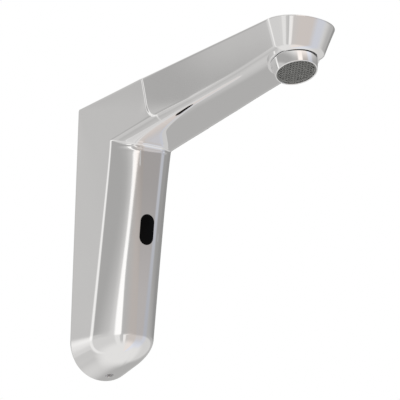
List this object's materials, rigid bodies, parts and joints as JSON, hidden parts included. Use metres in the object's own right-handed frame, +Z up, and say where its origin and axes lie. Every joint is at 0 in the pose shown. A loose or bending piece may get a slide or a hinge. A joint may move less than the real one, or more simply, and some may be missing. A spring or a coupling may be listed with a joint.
{
  "type": "wall-mounted sensor tap",
  "caption": "Chromed wall-mounted sensor tap: upright column with a level spout, a black sensor window, a tilted aerator and a pilot-operated solenoid valve inside.",
  "frame": {"origin": "on the wall plane, on the axis of the water inlet", "axes": "+Z up, +Y into the wall along the inlet, the spout runs towards -Y, +X to the right seen from the front"},
  "size_m": [0.0498, 0.2429, 0.1705],
  "materials": {
    "chrome_casting": "polished chrome plate",
    "chrome_collar": "polished chrome plate",
    "plate_steel": "rolled stainless sheet",
    "screw_steel": "turned stainless",
    "rubber_black": "moulded rubber",
    "rubber_pale": "moulded silicone",
    "brass": "machined brass",
    "steel_mesh": "woven stainless",
    "valve_plastic": "moulded acetal",
    "spring_steel": "drawn spring wire",
    "tube_steel": "ground stainless",
    "coil_black": "moulded over copper winding",
    "hose_plastic": "extruded polyethylene",
    "aerator_grey": "moulded acetal",
    "lens_black": "infrared-clear black window",
    "housing_black": "moulded black plastic",
    "diode_clear": "clear tinted epoxy",
    "board_green": "coated circuit board",
    "board_black": "moulded components",
    "case_black": "moulded plastic",
    "cell_wrap": "plain wrapped cell",
    "contact_nickel": "nickel-plated spring steel",
    "lead_red": "insulated lead",
    "lead_black": "insulated lead"
  },
  "bodies": {
    "tap": {"body_shell": "chrome_casting", "wall_plate": "plate_steel", "sensor_bracket": "plate_steel", "solenoid_yoke": "plate_steel", "cover_screws": "screw_steel", "valve_screws": "screw_steel", "bracket_screws": "screw_steel", "wall_gasket": "rubber_black", "tail_o_ring": "rubber_black", "tube_o_rings": "rubber_black", "sensor_gasket": "rubber_black", "check_valve": "rubber_pale", "inlet_tail": "brass", "valve_body": "brass", "inlet_strainer": "steel_mesh", "valve_cover": "valve_plastic", "piston_spring": "spring_steel", "plunger_spring": "spring_steel", "solenoid_tube": "tube_steel", "solenoid_core": "tube_steel", "solenoid_coil": "coil_black", "spout_tube": "hose_plastic", "sensor_lens": "lens_black", "sensor_housing": "housing_black", "ir_diodes": "diode_clear", "sensor_board": "board_green", "control_board": "board_green", "board_parts": "board_black", "battery_case": "case_black", "battery_cover": "case_black", "battery_cells": "cell_wrap", "battery_contacts": "contact_nickel", "battery_lead": "lead_red", "coil_lead": "lead_black", "sensor_lead": "lead_black"},
    "plunger": {"plunger": "tube_steel", "plunger_seal": "rubber_black"},
    "piston": {"valve_piston": "valve_plastic", "piston_seal": "rubber_black"},
    "aerator": {"aerator_housing": "chrome_collar", "aerator_washer": "rubber_black", "jet_former": "aerator_grey", "aerator_screen": "steel_mesh", "flow_regulator": "aerator_grey"},
    "lock_screw": {"lock_screw": "screw_steel"}
  },
  "joints": [
    {"name": "plunger_lift", "type": "slide", "parent": "tap", "child": "plunger", "axis": [0, 0, -1], "range_m": [0, 0.0012], "stiffness_N_per_m": 250, "springref_m": -0.003, "deforming": ["plunger_spring"]},
    {"name": "piston_lift", "type": "slide", "parent": "tap", "child": "piston", "axis": [0, 0, -1], "range_m": [0, 0.0018], "deforming": ["piston_spring"]},
    {"name": "aerator_turn", "type": "hinge", "parent": "tap", "child": "aerator", "pos_m": [0, -0.2002, 0.02125], "axis": [0, 0.309, 0.9511], "continuous": true},
    {"name": "lock_screw_turn", "type": "hinge", "parent": "tap", "child": "lock_screw", "pos_m": [0, -0.009, -0.1116], "axis": [0, 0, 1], "continuous": true}
  ],
  "couplings": [
    {"joint": "piston_lift", "follows": "plunger_lift", "ratio": 1.5}
  ]
}
